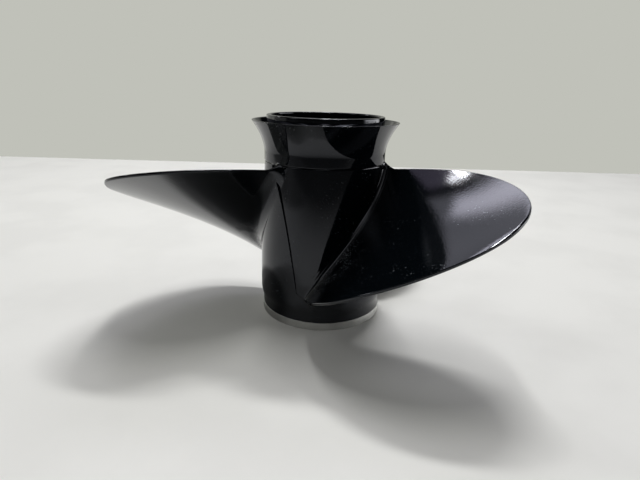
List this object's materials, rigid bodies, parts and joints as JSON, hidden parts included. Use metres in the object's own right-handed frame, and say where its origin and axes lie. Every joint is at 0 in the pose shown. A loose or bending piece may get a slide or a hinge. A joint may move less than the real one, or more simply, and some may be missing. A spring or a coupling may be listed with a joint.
{
  "type": "outboard motor propeller",
  "caption": "Outboard motor propeller: raked right-hand blades on an exhaust-through hub barrel with a flared aft ring, a rubber bushing and a splined sleeve for the shaft.",
  "frame": {"origin": "on the shaft axis at the centre of mass, 80.5 mm above the forward rim that the part stands on", "axes": "+Z along the shaft axis, pointing aft, so the part stands on its forward rim; +X to the right and +Y away from the viewer in the picture"},
  "size_m": [0.3049, 0.312, 0.1697],
  "materials": {
    "black_paint": "gloss",
    "bare_aluminium": "satin",
    "black_rubber": "matte",
    "bronze": "satin"
  },
  "bodies": {
    "root": {"barrel": "black_paint", "front_rim": "bare_aluminium", "blade_1": "black_paint", "blade_2": "black_paint", "blade_3": "black_paint", "flare_ring": "black_paint", "inner_hub": "black_paint", "rib_1": "black_paint", "rib_2": "black_paint", "rib_3": "black_paint", "rubber_bushing": "black_rubber", "splined_sleeve": "bronze"}
  },
  "joints": []
}
